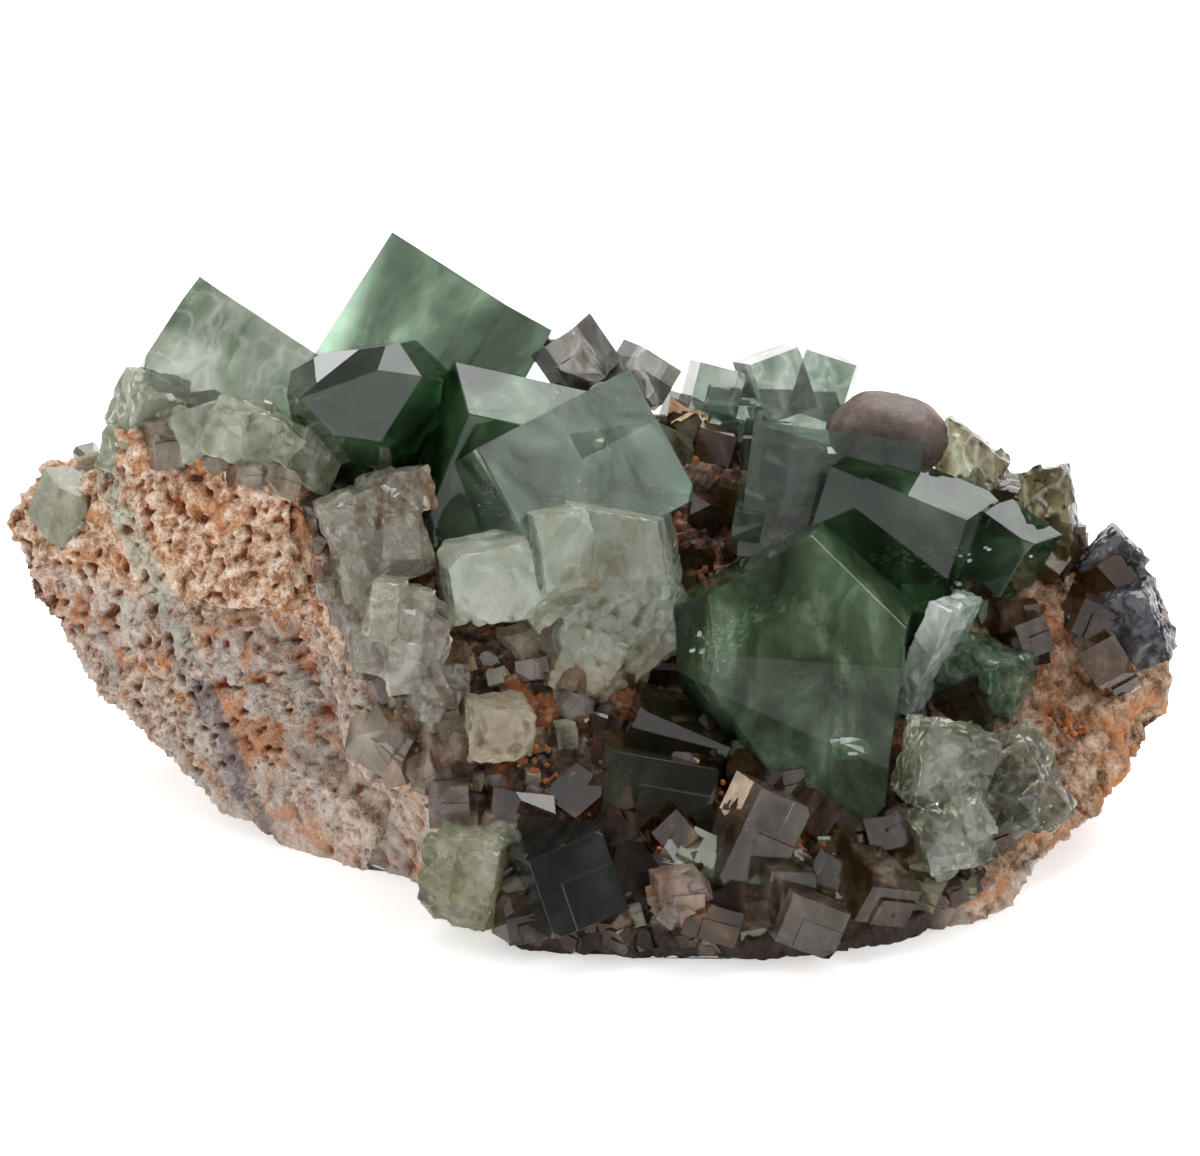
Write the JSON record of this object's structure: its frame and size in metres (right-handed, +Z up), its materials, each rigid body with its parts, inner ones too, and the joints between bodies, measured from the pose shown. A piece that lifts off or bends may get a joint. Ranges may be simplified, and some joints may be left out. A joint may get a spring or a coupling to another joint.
{
  "type": "fluorite specimen",
  "caption": "Mineral specimen: see-through green fluorite cubes grown over a pale brown block of host rock, cut flat underneath so that it stands on a shelf.",
  "frame": {"origin": "middle of the box around the specimen, at the height of the flat foot", "axes": "+X along the specimen's length, +Z up, -Y towards the side that the crystals face"},
  "size_m": [0.1196, 0.0674, 0.0567],
  "materials": {
    "rock": "rough, pitted, pale brown with rust stains",
    "nodule": "smooth brown pebble",
    "green_crystal": "see-through green, flat faces",
    "dark_crystal": "see-through dark green, flat faces",
    "pale_crystal": "milky pale green, partly frosted",
    "smoky_crystal": "smoky brown-grey, flat faces"
  },
  "bodies": {
    "root": {"matrix": "rock", "nodule": "nodule", "cube_left": "green_crystal", "cubes_back": "green_crystal", "cubes_centre": "green_crystal", "cubes_plate": "green_crystal", "twin_dark": "dark_crystal", "twin_large": "dark_crystal", "cubes_right": "dark_crystal", "cubes_front_middle": "dark_crystal", "cubes_back_left": "pale_crystal", "cubes_back_middle": "pale_crystal", "cubes_back_right": "pale_crystal", "cubes_frosted": "pale_crystal", "cubes_front_left": "pale_crystal", "cubes_right_edge": "smoky_crystal", "cubes_front_right": "smoky_crystal"}
  },
  "joints": []
}
